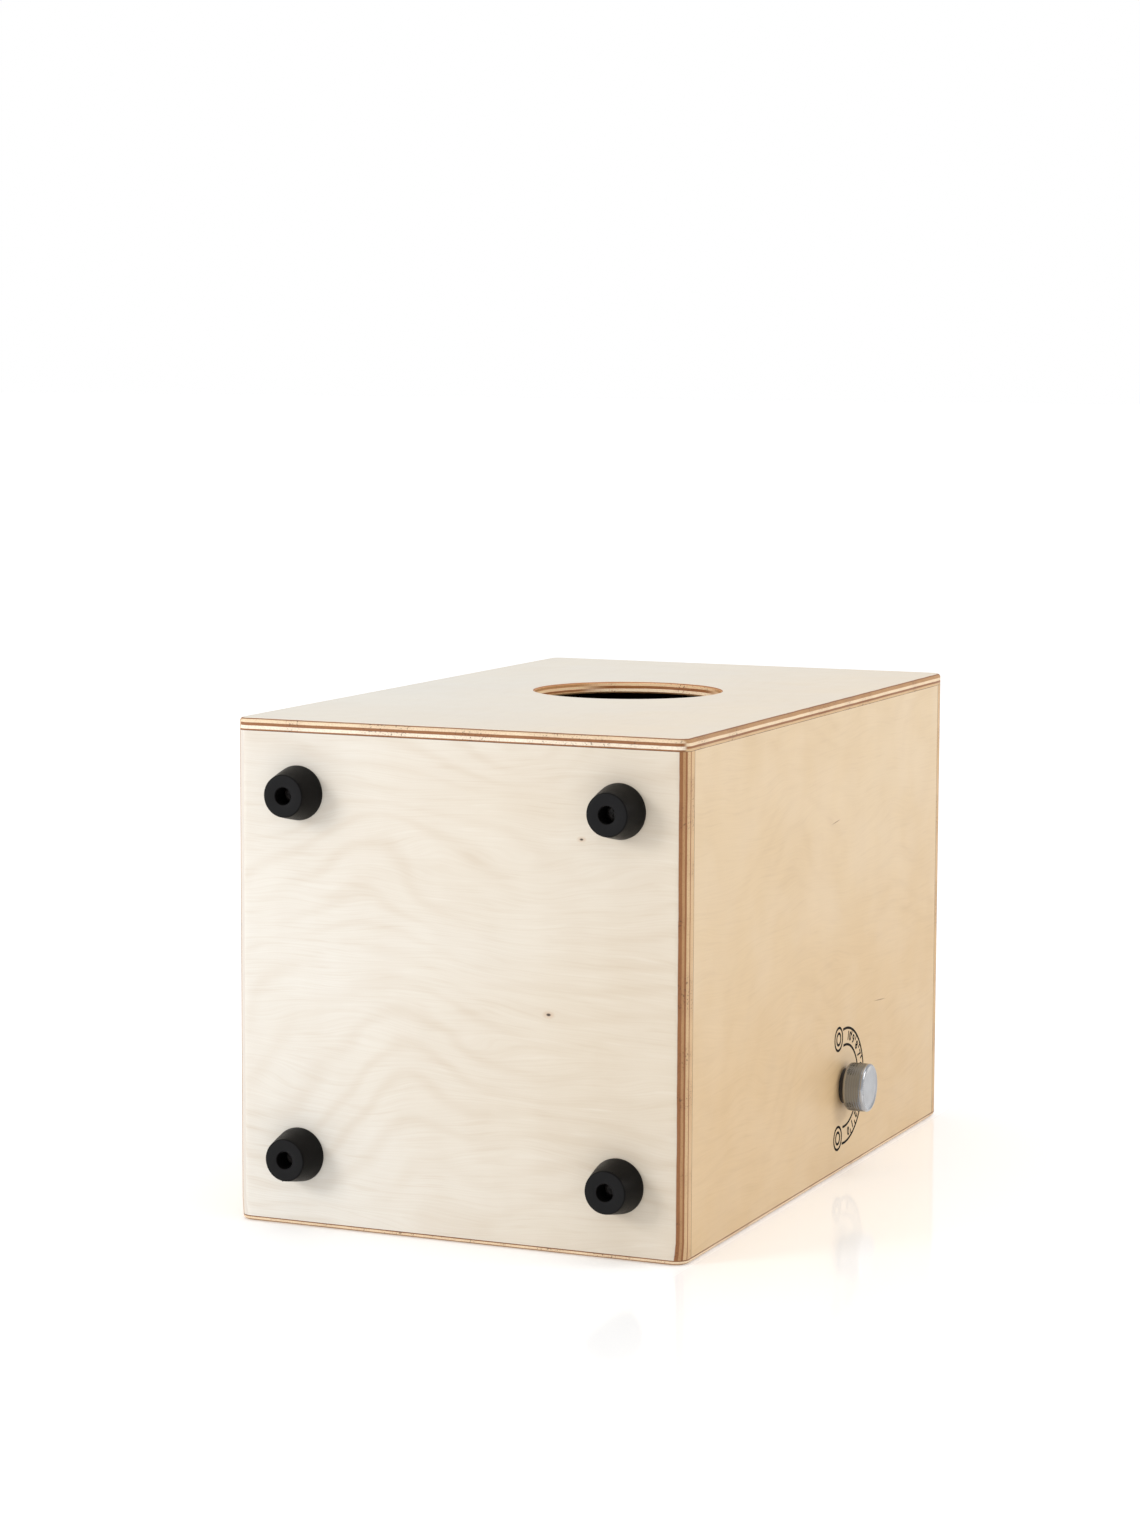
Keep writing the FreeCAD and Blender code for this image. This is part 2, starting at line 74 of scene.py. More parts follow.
class Paint:
    """Builds one node material.
    A value given to an input is a number, a colour or another node's output."""

    def __init__(self, name):
        self.material = bpy.data.materials.new(name)
        self.material.use_nodes = True
        self.tree = self.material.node_tree
        self.surface = self.tree.nodes["Principled BSDF"]

    def feed(self, socket, value):
        if isinstance(value, bpy.types.NodeSocket):
            self.tree.links.new(value, socket)
        else:
            socket.default_value = value

    def node(self, kind, inputs=None, output=0, **settings):
        node = self.tree.nodes.new("ShaderNode" + kind)
        for key, value in settings.items():
            setattr(node, key, value)
        for key, value in (inputs or {}).items():
            self.feed(node.inputs[key], value)
        return node.outputs[output]

    def math(self, operation, a, b=0.0, c=0.0):
        return self.node("Math", {0: a, 1: b, 2: c}, operation=operation)

    def fit(self, value, low, high, to_low=0.0, to_high=1.0):
        """Carries a range onto another, with a soft start and end."""
        inputs = {"Value": value, "From Min": low, "From Max": high, "To Min": to_low, "To Max": to_high}
        return self.node("MapRange", inputs, interpolation_type="SMOOTHSTEP")

    def mix(self, factor, a, b, blend="MIX"):
        inputs = {0: factor, 6: a, 7: b}
        return self.node("Mix", inputs, output=2, data_type="RGBA", blend_type=blend)

    def place(self):
        return self.node("TexCoord", output=3)

    def parts(self, vector):
        node = self.tree.nodes.new("ShaderNodeSeparateXYZ")
        self.feed(node.inputs[0], vector)
        return node.outputs

    def join(self, x, y, z):
        return self.node("CombineXYZ", {0: x, 1: y, 2: z})

    def noise(self, vector, scale=1.0, detail=2.0, roughness=0.5, distortion=0.0):
        inputs = {"Vector": vector, "Scale": scale, "Detail": detail, "Roughness": roughness,
                  "Distortion": distortion}
        return self.node("TexNoise", inputs)

    def bump(self, height, distance, strength=1.0):
        inputs = {"Height": height, "Distance": distance, "Strength": strength}
        self.feed(self.surface.inputs["Normal"], self.node("Bump", inputs))

    def finish(self, **inputs):
        for key, value in inputs.items():
            self.feed(self.surface.inputs[key.replace("_", " ").replace("  ", "_")], value)
        return self.material


def tone(red, green, blue):
    """A colour given as it is seen on a screen, 0 to 255."""
    def linear(value):
        part = value / 255
        return part / 12.92 if part <= 0.04045 else ((part + 0.055) / 1.055) ** 2.4
    return (linear(red), linear(green), linear(blue), 1.0)


# ---------------------------------------------------------------- wood

# Ply layers through a thickness: the depth in millimetres at which each begins, what it shows on
# edges that face along X, and what it shows on edges that face along Y.  End grain is brown.
PANEL_PLIES = ((0.3, "end", "end"), (1.3, "mixed", "mixed"), (2.4, "end", "end"), (3.4, "tan", "tan"),
               (5.8, "end", "end"), (6.6, "tan", "tan"), (11.6, "joint", "joint"))
BACK_PLIES = ((0.3, "end", "end"), (0.9, "mixed", "long"), (2.9, "long", "end"), (4.8, "end", "white"),
              (6.2, "tan", "white"), (6.9, "tan", "end"), (7.75, "joint", "joint"))
TAPA_PLIES = ((0.25, "end", "end"), (0.9, "long", "long"), (2.3, "end", "end"),
              (2.8, "joint", "joint"))
PLY_TONES = {"white": tone(250, 236, 214), "long": tone(240, 216, 182), "tan": tone(214, 180, 136),
             "mixed": tone(184, 140, 94), "end": tone(150, 98, 54), "joint": tone(88, 56, 32)}
# In millimetres: the depth of the whole ramp, half a border between plies, and how far a ply wavers.
RAMP_DEPTH = 20.0
PLY_BORDER = 0.08
PLY_WAVER = 0.35

# The veneer's figure. Rates are waves per metre along and across the grain.
SWAY_RATES = (5.0, 15.0)
SWAY_REACH = 55 * MM
RING_RATES = (4.2, 4.6)
RING_PUSH = 15.0
RINGS_PER_METRE = 48.0
BREAK_RATES = (7.0, 14.0)
FIBRE_RATES = (16.0, 1100.0)
STROKE_RATES = (26.0, 330.0)
CLOUD_RATES = (5.4, 9.0)
RIPPLE_RATES = (30.0, 11.0)

# How strongly each part of the figure colours the face.
RING_STRENGTH = 0.14
FIBRE_STRENGTH = 0.12
STROKE_STRENGTH = 0.14
RIPPLE_STRENGTH = 0.07
# The share of the tone set by the painted light and shade gradient; the rest comes from the cloud.
LIGHT_GRADIENT_SHARE = 0.75
SHINE_GAIN = 1.12

SPECKLE_TONE = tone(150, 104, 66)
PATCH_TONE = tone(180, 134, 92)
PORE_TONE = tone(80, 48, 26)
KNOT_HALO = tone(186, 142, 96)
KNOT_CORE = tone(52, 36, 24)
STREAK_TONE = tone(138, 92, 52)
STREAK_WIDTH = 0.8 * MM
# Painted light: how much brighter and more orange the sound hole's wall is drawn, against the shade inside
# the hole.
HOLE_WALL_LIGHT = (1.5, 1.36, 1.18, 1.0)
# Painted highlight: the span along X over which the plies grow paler towards the left end, as if washed out
# by light.
GLARE_SPAN = (-20 * MM, -130 * MM)


class Wood:
    """What makes one panel's veneer: its outer face, its grain and its tones.
    Axes are 0, 1 and 2 for X, Y and Z, and inward is the sign of the way into the panel.
    figure is how strong the grain shows.
    The light gradient is an axis with two places along it, between which the tone goes from pale to warm:
    painted light and shade, paler where more light falls and warmer and darker where less falls.
    The left-end glare is how pale the plies are painted at the panel's left end: a painted highlight, as if
    washed out by light.
    holed marks the panel with the sound hole, whose wall is painted brighter: painted light against the
    shade inside the hole.
    knots are (along, across, size), and streaks are (along, across, length, slope)."""

    def __init__(self, name, skin_axis, skin_at, inward, grain_axis, plies, pale, warm, line,
                 figure=1.0, drift=None, faded=0.0, holed=False, knots=(), streaks=()):
        self.name = name
        self.skin_axis = skin_axis
        self.skin_at = skin_at
        self.inward = inward
        self.grain_axis = grain_axis
        self.plies = plies
        self.pale = pale
        self.warm = warm
        self.line = line
        self.shine = tuple(min(1.0, part * SHINE_GAIN) for part in pale)
        self.figure = figure
        self.drift = drift
        self.faded = faded
        self.holed = holed
        self.knots = knots
        self.streaks = streaks

    def cross_axis(self):
        return 3 - self.skin_axis - self.grain_axis


def grain_noise(paint, along, across, rates, layer, detail=2.0, roughness=0.5):
    """Noise stretched along the grain; a different layer gives a different pattern."""
    along = paint.math("MULTIPLY", along, rates[0])
    across = paint.math("MULTIPLY", across, rates[1])
    return paint.noise(paint.join(along, across, layer), 1.0, detail, roughness)


def growth_rings(paint, along, across, depth):
    """Wavy growth lines, 1 on a line and 0 between, broken here and there."""
    push = grain_noise(paint, along, across, RING_RATES, depth, 2.0, 0.4)
    count = paint.math("MULTIPLY_ADD", across, RINGS_PER_METRE, paint.math("MULTIPLY", push, RING_PUSH))
    off_line = paint.math("ABSOLUTE", paint.math("SUBTRACT", paint.math("FRACT", count), 0.5))
    breaks = grain_noise(paint, along, across, BREAK_RATES, 3.1)
    return paint.math("MULTIPLY", paint.fit(off_line, 0.0, 0.34, 1.0, 0.0), paint.fit(breaks, 0.30, 0.62))


def veneer_figure(paint, wood, axes, along, across, depth):
    """The face veneer's colour and its height for the bump."""
    for knot_along, knot_across, size in wood.knots:
        across = paint.math("ADD", across, knot_push(paint, along, across, knot_along, knot_across, size))
    sway = paint.math("SUBTRACT", grain_noise(paint, along, across, SWAY_RATES, 3.5), 0.5)
    wavy = paint.math("ADD", across, paint.math("MULTIPLY", sway, SWAY_REACH))

    rings = growth_rings(paint, along, wavy, depth)
    fibre = grain_noise(paint, along, wavy, FIBRE_RATES, depth, 3.0, 0.6)
    strokes = grain_noise(paint, along, wavy, STROKE_RATES, 5.0)
    cloud = grain_noise(paint, along, wavy, CLOUD_RATES, 11.7, 3.0)
    ripple = grain_noise(paint, along, across, RIPPLE_RATES, 2.0)

    warmth_and_shade = paint.fit(cloud, 0.3, 0.72)
    # Painted light and shade: along the given axis the tone goes from pale, where more light falls, to warm
    # and darker, where less falls.
    if wood.drift:
        axis, pale_at, warm_at = wood.drift
        drift = paint.math("MULTIPLY", paint.fit(axes[axis], pale_at, warm_at), LIGHT_GRADIENT_SHARE)
        warmth_and_shade = paint.math("MULTIPLY_ADD", warmth_and_shade, 1.0 - LIGHT_GRADIENT_SHARE, drift)
    ring_strength = RING_STRENGTH * wood.figure ** 2
    fibre_strength = FIBRE_STRENGTH * wood.figure
    stroke_strength = STROKE_STRENGTH * wood.figure
    ripple_strength = RIPPLE_STRENGTH * wood.figure
    colour = paint.mix(warmth_and_shade, wood.pale, wood.warm)
    colour = paint.mix(paint.fit(ripple, 0.3, 0.7, 0.0, ripple_strength), colour, wood.line)
    colour = paint.mix(paint.math("MULTIPLY", rings, ring_strength), colour, wood.line)
    colour = paint.mix(paint.fit(fibre, 0.35, 0.75, 0.0, fibre_strength), colour, wood.line)
    colour = paint.mix(paint.fit(strokes, 0.52, 0.78, 0.0, stroke_strength), colour, wood.line)
    colour = paint.mix(paint.fit(strokes, 0.46, 0.20, 0.0, stroke_strength), colour, wood.shine)
    height = paint.math("ADD", paint.math("MULTIPLY", fibre, 0.6), paint.math("MULTIPLY", strokes, 0.35))
    return colour, height


def spot_distance(paint, along, across, spot_along, spot_across, long_size, cross_size):
    """Distance from a spot, 1 at the edge of its ellipse."""
    u = paint.math("DIVIDE", paint.math("SUBTRACT", along, spot_along), long_size)
    v = paint.math("DIVIDE", paint.math("SUBTRACT", across, spot_across), cross_size)
    return paint.math("SQRT", paint.math("ADD", paint.math("MULTIPLY", u, u), paint.math("MULTIPLY", v, v)))


def knot_push(paint, along, across, knot_along, knot_across, size):
    """How far the grain bends round a pin knot."""
    reach = size * 7
    away = spot_distance(paint, along, across, knot_along, knot_across, reach * 1.8, reach)
    side = paint.math("SUBTRACT", across, knot_across)
    pull = paint.fit(away, 0.0, 1.0, 0.75, 0.0)
    return paint.math("MULTIPLY", paint.math("MULTIPLY", side, pull), -1.0)


def add_spots(paint, wood, colour, along, across):
    """Pin knots, and short dark streaks that lie along the grain."""
    for knot_along, knot_across, size in wood.knots:
        away = spot_distance(paint, along, across, knot_along, knot_across, size * 1.7, size)
        colour = paint.mix(paint.fit(away, 0.9, 3.4, 0.35, 0.0), colour, KNOT_HALO)
        colour = paint.mix(paint.fit(away, 0.55, 1.25, 0.95, 0.0), colour, KNOT_CORE)
    for streak_along, streak_across, length, slope in wood.streaks:
        tilt = paint.math("MULTIPLY", paint.math("SUBTRACT", along, streak_along), slope)
        tilted = paint.math("SUBTRACT", across, tilt)
        away = spot_distance(paint, along, tilted, streak_along, streak_across, length / 2, STREAK_WIDTH / 2)
        colour = paint.mix(paint.fit(away, 0.3, 1.3, 0.8, 0.0), colour, STREAK_TONE)
    return colour


def ply_ramp(paint, wood, level, column):
    """The plies' tones by depth, with soft borders."""
    ramp = paint.tree.nodes.new("ShaderNodeValToRGB")
    stops = ramp.color_ramp.elements
    stops[0].color = wood.pale
    stops[1].position = 1.0
    before = wood.pale
    for ply in wood.plies:
        stops.new((ply[0] - PLY_BORDER) / RAMP_DEPTH).color = before
        before = PLY_TONES[ply[column]]
        stops.new((ply[0] + PLY_BORDER) / RAMP_DEPTH).color = before
    stops[-1].color = before
    paint.feed(ramp.inputs[0], paint.math("DIVIDE", level, RAMP_DEPTH))
    return ramp.outputs[0]


def ply_edge(paint, wood, place, axes, depth):
    """The cut edge of the plies: end grain is brown with dark pores, long grain pale and streaky."""
    waver = paint.math("SUBTRACT", paint.noise(place, 55.0, 2.0), 0.5)
    level = paint.math("ADD", depth, paint.math("MULTIPLY", waver, PLY_WAVER))
    facing = paint.parts(paint.node("NewGeometry", output="Normal"))
    faces_y = paint.fit(paint.math("ABSOLUTE", facing[1]), 0.55, 0.85)
    colour = paint.mix(faces_y, ply_ramp(paint, wood, level, 1), ply_ramp(paint, wood, level, 2))
    speckle = paint.noise(place, 1500.0, 2.0, 0.6)
    patches = paint.noise(place, 42.0, 2.0)
    pores = paint.noise(place, 760.0, 1.0)
    pores = paint.math("MULTIPLY", paint.fit(pores, 0.60, 0.68), paint.fit(patches, 0.50, 0.62))
    colour = paint.mix(paint.fit(speckle, 0.42, 0.75, 0.0, 0.28), colour, SPECKLE_TONE, "MULTIPLY")
    colour = paint.mix(paint.fit(patches, 0.35, 0.7, 0.0, 0.18), colour, PATCH_TONE, "MULTIPLY")
    colour = paint.mix(paint.math("MULTIPLY", pores, 0.65), colour, PORE_TONE)
    # Painted light: the sound hole's wall is drawn brighter, against the shade inside the hole.
    if wood.holed:
        reach = spot_distance(paint, axes[0], axes[1], HOLE_X, HOLE_Y, HOLE_RADIUS, HOLE_RADIUS)
        hole_wall_lit = paint.fit(reach, 1.08, 1.16, 1.0, 0.0)
        colour = paint.mix(hole_wall_lit, colour, HOLE_WALL_LIGHT, "MULTIPLY")
    # Painted highlight: towards the left end the plies on edges facing along Y are drawn paler, as if washed
    # out by light.
    if wood.faded:
        glare = paint.fit(axes[0], GLARE_SPAN[0], GLARE_SPAN[1], 0.0, wood.faded)
        colour = paint.mix(paint.math("MULTIPLY", faces_y, glare), colour, wood.pale)
    return colour, speckle


def plywood(wood):
    paint = Paint(wood.name)
    place = paint.place()
    axes = paint.parts(place)
    across = axes[wood.cross_axis()]
    along = axes[wood.grain_axis]
    inward = paint.math("SUBTRACT", axes[wood.skin_axis], wood.skin_at)
    depth = paint.math("MULTIPLY", inward, wood.inward / MM)
    skin, skin_height = veneer_figure(paint, wood, axes, along, across, paint.math("MULTIPLY", depth, 0.2))
    skin = add_spots(paint, wood, skin, along, across)
    edge, edge_height = ply_edge(paint, wood, place, axes, depth)
    veneer = wood.plies[0][0]
    on_edge = paint.fit(depth, veneer - PLY_BORDER, veneer + PLY_BORDER)
    colour = paint.mix(on_edge, skin, edge)
    on_skin = paint.math("SUBTRACT", 1.0, on_edge)
    height = paint.math("ADD", paint.math("MULTIPLY", skin_height, on_skin),
                        paint.math("MULTIPLY", edge_height, on_edge))
    paint.bump(height, 0.12 * MM, 0.55)
    rough = paint.fit(paint.noise(place, 24.0, 3.0), 0.3, 0.7, 0.34, 0.46)
    rough = paint.math("ADD", rough, paint.math("MULTIPLY", on_edge, 0.12))
    return paint.finish(Base_Color=colour, Roughness=rough)


def batten_wood(name, grain_axis, base, dark):
    """Planed wood for the pieces inside: rings drawn out along the grain."""
    paint = Paint(name)
    axes = paint.parts(paint.place())
    rates = [160.0, 160.0, 160.0]
    rates[grain_axis] = 4.0
    vector = paint.join(*[paint.math("MULTIPLY", axis, rate) for axis, rate in zip(axes, rates)])
    rings = paint.noise(vector, 1.0, 3.0, 0.5, 0.6)
    fibre = paint.noise(vector, 9.0, 2.0)
    colour = paint.mix(paint.fit(rings, 0.35, 0.65), base, dark)
    colour = paint.mix(paint.fit(fibre, 0.4, 0.7, 0.0, 0.3), colour, dark)
    paint.bump(fibre, 0.2 * MM, 0.5)
    return paint.finish(Base_Color=colour, Roughness=0.62)


# ---------------------------------------------------------------- rubber, metal, nylon, ink

KNOB_RADIUS = (KNOB_HIGH.z - KNOB_LOW.z) / 2
KNOB_THICKNESS = KNOB_HIGH.x - KNOB_LOW.x
KNOB_BEVEL = 1.5 * MM
KNURL_COUNT = 72
KNURL_ROWS = 30
KNURL_DEPTH = 0.22 * MM
KNURL_FLOOR = KNOB_RADIUS - KNURL_DEPTH
KNURL_CLIMB = 12
KNURL_BAND = (1.6 * MM, KNOB_THICKNESS - KNOB_BEVEL - 0.9 * MM)
SHAFT_HOLE = 4.02 * MM


def rubber():
    """Black rubber with grime and a few scuffs, and painted light: the end face is drawn lighter than the
    sides, as more light falls on it.
    """
    paint = Paint("foot_rubber_paint")
    place = paint.place()
    grime_and_shade = paint.noise(place, 70.0, 4.0, 0.6)
    grain = paint.noise(place, 2600.0, 2.0)
    scuff = paint.fit(paint.noise(place, 420.0, 4.0, 0.7), 0.62, 0.8)
    colour = paint.mix(paint.fit(grime_and_shade, 0.35, 0.7), tone(12, 11, 11), tone(19, 18, 17))
    colour = paint.mix(paint.math("MULTIPLY", scuff, 0.35), colour, tone(62, 60, 58))
    # Painted light: the end face is drawn lighter than the sides, as more light falls on it.
    facing = paint.parts(paint.node("NewGeometry", output="Normal"))
    lit_end_face = paint.fit(facing[1], -0.9, -0.98)
    colour = paint.mix(paint.math("MULTIPLY", lit_end_face, 0.75), colour, tone(32, 32, 33))
    paint.bump(grain, 0.1 * MM, 0.5)
    rough = paint.fit(grime_and_shade, 0.3, 0.7, 0.36, 0.5)
    return paint.finish(Base_Color=colour, Roughness=rough, Specular_IOR_Level=0.07)


def chrome():
    """Polished plate with fine turning marks round the axis and a trace of wear, and painted shade over the
    knurled band, deepest in its grooves.
    """
    paint = Paint("knob_chrome_paint")
    place = paint.place()
    axes = paint.parts(place)
    y = paint.math("SUBTRACT", axes[1], AXIS.y)
    z = paint.math("SUBTRACT", axes[2], AXIS.z)
    square = paint.math("ADD", paint.math("MULTIPLY", y, y), paint.math("MULTIPLY", z, z))
    radius = paint.math("SQRT", square)
    turned = paint.noise(paint.join(paint.math("MULTIPLY", radius, 5200.0), 0.0, 0.0), 1.0, 2.0)
    smudge = paint.noise(place, 130.0, 4.0, 0.6)
    colour = paint.mix(paint.fit(smudge, 0.3, 0.7), tone(176, 178, 182), tone(166, 168, 172))
    # Painted shade: the knurled band is drawn darker and bluer, most of all deep in its grooves, where the
    # knurl shades itself.
    grooves = paint.fit(radius, KNURL_FLOOR, KNURL_FLOOR + KNURL_DEPTH, 0.8, 0.0)
    on_band = paint.math("MULTIPLY", paint.math("GREATER_THAN", axes[0], KNOB_LOW.x + KNURL_BAND[0]),
                         paint.math("LESS_THAN", axes[0], KNOB_LOW.x + KNURL_BAND[1]))
    on_rim = paint.math("GREATER_THAN", radius, KNURL_FLOOR - 0.3 * MM)
    grime_and_shade = paint.math("MULTIPLY", paint.math("MULTIPLY", on_band, on_rim), paint.math("ADD", grooves, 0.2))
    colour = paint.mix(grime_and_shade, colour, tone(124, 134, 148))
    paint.bump(turned, 0.02 * MM, 0.35)
    rough = paint.fit(smudge, 0.3, 0.75, 0.13, 0.19)
    return paint.finish(Base_Color=colour, Roughness=rough, Metallic=1.0)


def plain_metal(name, light, dark, rough_low, rough_high, metallic=1.0):
    paint = Paint(name)
    place = paint.place()
    wear = paint.noise(place, 260.0, 4.0, 0.6)
    fine = paint.noise(place, 2400.0, 2.0)
    colour = paint.mix(paint.fit(wear, 0.35, 0.7), light, dark)
    paint.bump(fine, 0.04 * MM, 0.5)
    rough = paint.fit(wear, 0.3, 0.7, rough_low, rough_high)
    return paint.finish(Base_Color=colour, Roughness=rough, Metallic=metallic)


def nylon():
    paint = Paint("nylon_paint")
    place = paint.place()
    cloud = paint.noise(place, 200.0, 3.0)
    colour = paint.mix(paint.fit(cloud, 0.3, 0.7), tone(232, 230, 222), tone(214, 210, 198))
    paint.bump(cloud, 0.05 * MM, 0.4)
    return paint.finish(Base_Color=colour, Roughness=0.5)


def ink():
    """Printed ink, worn thin in specks so that the wood tone shows."""
    paint = Paint("dial_ink_paint")
    place = paint.place()
    specks = paint.noise(place, 2300.0, 3.0, 0.7)
    colour = paint.mix(paint.fit(specks, 0.60, 0.80, 0.0, 0.45), tone(24, 17, 13), tone(120, 88, 58))
    paint.bump(specks, 0.02 * MM, 0.4)
    return paint.finish(Base_Color=colour, Roughness=0.75, Specular_IOR_Level=0.12)


# ---------------------------------------------------------------- mesh building blocks

def new_piece(name, mesh, body, material, smooth_angle=35.0):
    piece = bpy.data.objects.new(name, mesh)
    bpy.context.scene.collection.objects.link(piece)
    mesh.materials.append(material)
    mesh.shade_smooth()
    mesh.set_sharp_from_angle(angle=math.radians(smooth_angle))
    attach(piece, body)
    return piece


def lathe(form, centre, along, profile, segments, ripple=None):
    """Turns a profile of (radius, height) points round an axis and adds it to a bmesh.
    A flat face closes the first ring and another the last. ripple adds to the radius by row and step."""
    turn = Vector((0, 0, 1)).rotation_difference(Vector(along)).to_matrix()
    rings = []
    for row, (radius, height) in enumerate(profile):
        ring = []
        for i in range(segments):
            angle = 2 * math.pi * i / segments
            reach = radius + (ripple(row, i) if ripple else 0.0)
            local = Vector((reach * math.cos(angle), reach * math.sin(angle), height))
            ring.append(form.verts.new(Vector(centre) + turn @ local))
        rings.append(ring)
    for low, high in zip(rings, rings[1:]):
        for i in range(segments):
            j = (i + 1) % segments
            form.faces.new((low[i], low[j], high[j], high[i]))
    form.faces.new(list(reversed(rings[0])))
    form.faces.new(rings[-1])


def to_mesh(form, name):
    bmesh.ops.recalc_face_normals(form, faces=form.faces)
    mesh = bpy.data.meshes.new(name)
    form.to_mesh(mesh)
    form.free()
    return mesh


def arc_points(centre, radius, start, end, count):
    """Points on a quarter or other stretch of a circle in a profile, angles in degrees."""
    points = []
    for i in range(count + 1):
        angle = math.radians(start + (end - start) * i / count)
        points.append((centre[0] + radius * math.cos(angle), centre[1] + radius * math.sin(angle)))
    return points


# ---------------------------------------------------------------- rubber feet

FOOT_END_RADIUS = 13.3 * MM
FOOT_RECESS_RADIUS = 5.35 * MM
FOOT_WEB = 6.0 * MM
FOOT_SCREW_HOLE = 2.1 * MM


def foot_profile(base_radius, height):
    """From the screw hole in the base, out, up the cone, over the end and down the recess."""
    ease = 1.1 * MM
    lip = 0.35 * MM
    profile = [(FOOT_SCREW_HOLE, 0.0), (base_radius - lip, 0.0)]
    profile += arc_points((base_radius - lip, lip), lip, -90, 0, 3)[1:]
    cone_rows = 10
    for i in range(1, cone_rows):
        part = i / cone_rows
        bulge = 0.12 * MM * math.sin(math.pi * part)
        radius = base_radius + (FOOT_END_RADIUS - base_radius) * part + bulge
        profile.append((radius, lip + (height - ease - lip) * part))
    profile += arc_points((FOOT_END_RADIUS - ease, height - ease), ease, 10, 90, 5)
    rim = 0.5 * MM
    profile += arc_points((FOOT_RECESS_RADIUS + rim, height - rim), rim, 90, 180, 3)
    profile += [(FOOT_RECESS_RADIUS, height - 3 * MM), (FOOT_RECESS_RADIUS, FOOT_WEB + 0.4 * MM)]
    profile += [(FOOT_RECESS_RADIUS - 0.4 * MM, FOOT_WEB), (FOOT_SCREW_HOLE, FOOT_WEB)]
    return profile


def ring_lathe(form, centre, along, profile, segments):
    """A turned solid with a hole through it: the profile closes on itself."""
    turn = Vector((0, 0, 1)).rotation_difference(Vector(along)).to_matrix()
    columns = []
    for i in range(segments):
        angle = 2 * math.pi * i / segments
        spin = Matrix.Rotation(angle, 3, "Z")
        column = [turn @ (spin @ Vector((radius, 0, height))) for radius, height in profile]
        columns.append([form.verts.new(Vector(centre) + point) for point in column])
    count = len(profile)
    for i in range(segments):
        one, two = columns[i], columns[(i + 1) % segments]
        for j in range(count):
            k = (j + 1) % count
            form.faces.new((one[j], one[k], two[k], two[j]))


def moulding_nib(form, centre, along, out, size, draw):
    """A small torn tag of rubber left on the foot's end edge."""
    root = centre + out * (FOOT_END_RADIUS - 0.5 * MM) + along * draw.uniform(-1.6, -0.8) * MM
    tip = root + out * size + along * draw.uniform(-0.4, 0.2) * MM
    side = along.cross(out) * draw.uniform(0.5, 0.9) * MM
    thick = along * 0.35 * MM
    base = [root + side + thick, root - side + thick, root - side - thick, root + side - thick]
    corners = [form.verts.new(p) for p in base]
    point = form.verts.new(tip)
    form.faces.new(corners)
    for i in range(4):
        form.faces.new((corners[i], corners[(i + 1) % 4], point))


# Where each foot's torn tags are, in degrees round its end from +X towards +Z.
NIB_ANGLES = {"foot_front_left": (205, 225, 262, 280), "foot_back_left": (170,),
              "foot_front_right": (70,), "foot_back_right": (30,)}
FOOT_SEGMENTS = 96


def make_feet(material):
    for name, angles in NIB_ANGLES.items():
        draw = random.Random(name)
        low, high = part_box(name)
        base = Vector(((low.x + high.x) / 2, high.y, (low.z + high.z) / 2))
        outward = Vector((0, -1, 0))
        height = high.y - low.y
        form = bmesh.new()
        ring_lathe(form, base, outward, foot_profile((high.x - low.x) / 2, height), FOOT_SEGMENTS)
        for angle in angles:
            out = Vector((math.cos(math.radians(angle)), 0, math.sin(math.radians(angle))))
            moulding_nib(form, base + outward * height, outward, out, draw.uniform(0.7, 1.3) * MM, draw)
        piece = new_piece(name + "_moulded", to_mesh(form, name), BOX, material)
        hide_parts(name)


# ---------------------------------------------------------------- knob

def triangle(value):
    """A wave that rises and falls in straight lines between 0 and 1."""
    part = value % 1.0
    return 1 - abs(2 * part - 1)


def knob_profile():
    """The turned outline: rear bevel, knurled band, groove, polished front bevel and dished face.
    It comes with the first and last rows of the knurled band."""
    radius = KNOB_RADIUS
    front = KNOB_THICKNESS
    rear_bevel = 0.7 * MM
    neck = 0.15 * MM
    groove = 0.25 * MM
    skim = 0.02 * MM
    dish = 0.32 * MM
    band_low, band_high = KNURL_BAND
    profile = [(SHAFT_HOLE, 0.0), (radius - rear_bevel, 0.0)]
    profile += [(radius - neck, rear_bevel), (radius - neck, band_low - 2 * neck)]
    first = len(profile)
    for i in range(KNURL_ROWS + 1):
        profile.append((radius - KNURL_DEPTH, band_low + (band_high - band_low) * i / KNURL_ROWS))
    last = len(profile) - 1
    profile += [(radius - groove, band_high + 0.3 * MM), (radius - skim, band_high + 0.55 * MM)]
    profile += arc_points((radius - KNOB_BEVEL, front - KNOB_BEVEL), KNOB_BEVEL - skim, 8, 78, 7)
    face = radius - KNOB_BEVEL - 0.5 * MM
    profile += [(face, front - 0.06 * MM), (face - 0.35 * MM, front - dish)]
    profile += [(face * part, front - dish) for part in (0.8, 0.5, 0.25)]
    return profile, first, last


def make_knob(material):
    profile, first, last = knob_profile()
    segments = KNURL_COUNT * 4

    def knurl(row, i):
        """Diamond knurling: two crossed sets of helical grooves."""
        if not first < row < last:
            return 0.0
        turn = i / segments * KNURL_COUNT
        climb = (row - first) / KNURL_ROWS * KNURL_CLIMB
        return KNURL_DEPTH * min(triangle(turn + climb), triangle(turn - climb))

    form = bmesh.new()
    start = Vector((KNOB_LOW.x, AXIS.y, AXIS.z))
    lathe(form, start, (1, 0, 0), profile, segments, knurl)
    piece = new_piece("knob_turned", to_mesh(form, "knob_turned"), CONTROL, material, 40.0)
    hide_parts("knob")


# ---------------------------------------------------------------- printed dial

